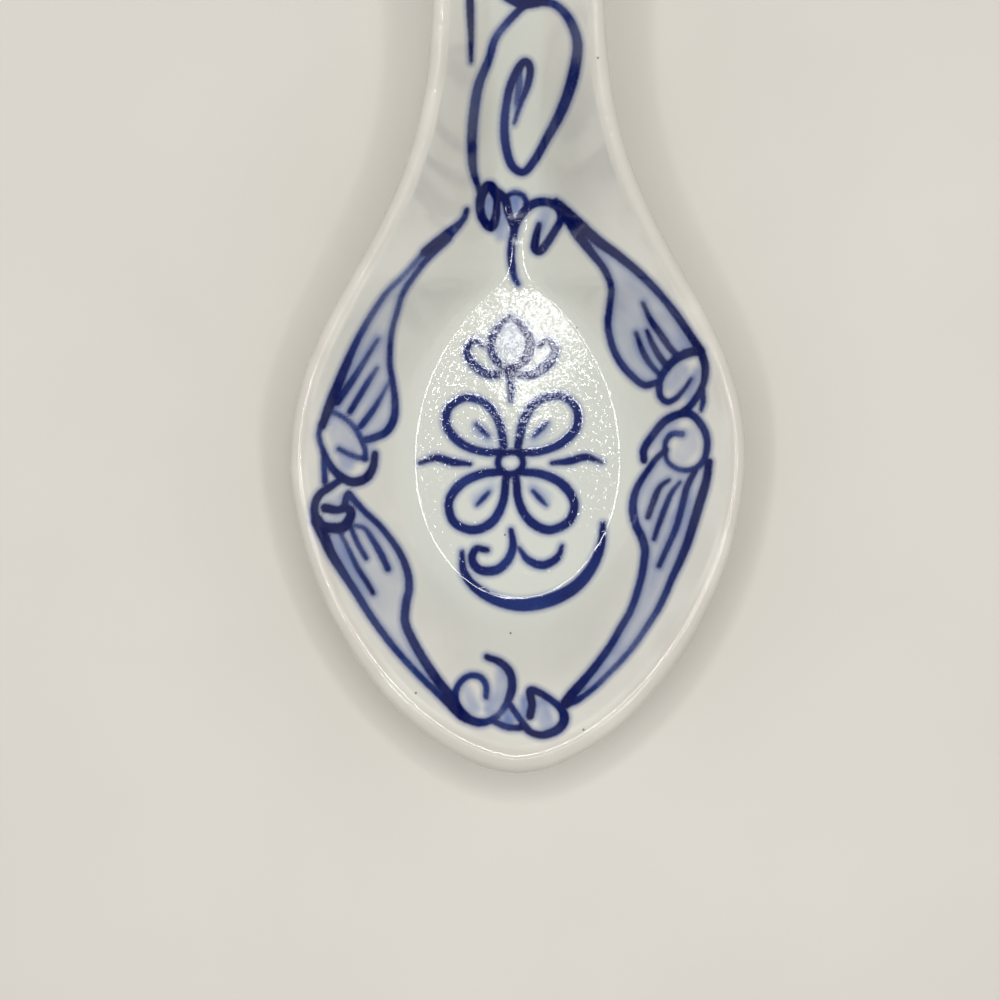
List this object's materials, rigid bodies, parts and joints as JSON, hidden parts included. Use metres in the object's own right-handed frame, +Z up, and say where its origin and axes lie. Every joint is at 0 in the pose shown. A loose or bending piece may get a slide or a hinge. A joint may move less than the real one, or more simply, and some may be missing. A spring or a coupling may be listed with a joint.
{
  "type": "chinese soup spoon",
  "caption": "Porcelain Chinese soup spoon: a pear-shaped bowl with a flat teardrop floor, a hollowed handle rising from its back, glaze all over and a bare foot ring.",
  "frame": {"origin": "on the surface that the spoon stands on, under the middle of its bounding box", "axes": "+Y along the spoon towards the handle's end, +X across it, +Z up out of the bowl"},
  "size_m": [0.0456, 0.13, 0.046],
  "materials": {
    "biscuit": "fired porcelain clay, fine and matt, bare at the foot ring only",
    "glaze": "clear glossy glaze, faintly grey green, over hand-painted cobalt blue"
  },
  "bodies": {
    "root": {"porcelain_body": "biscuit", "glaze_coat": "glaze"}
  },
  "joints": []
}
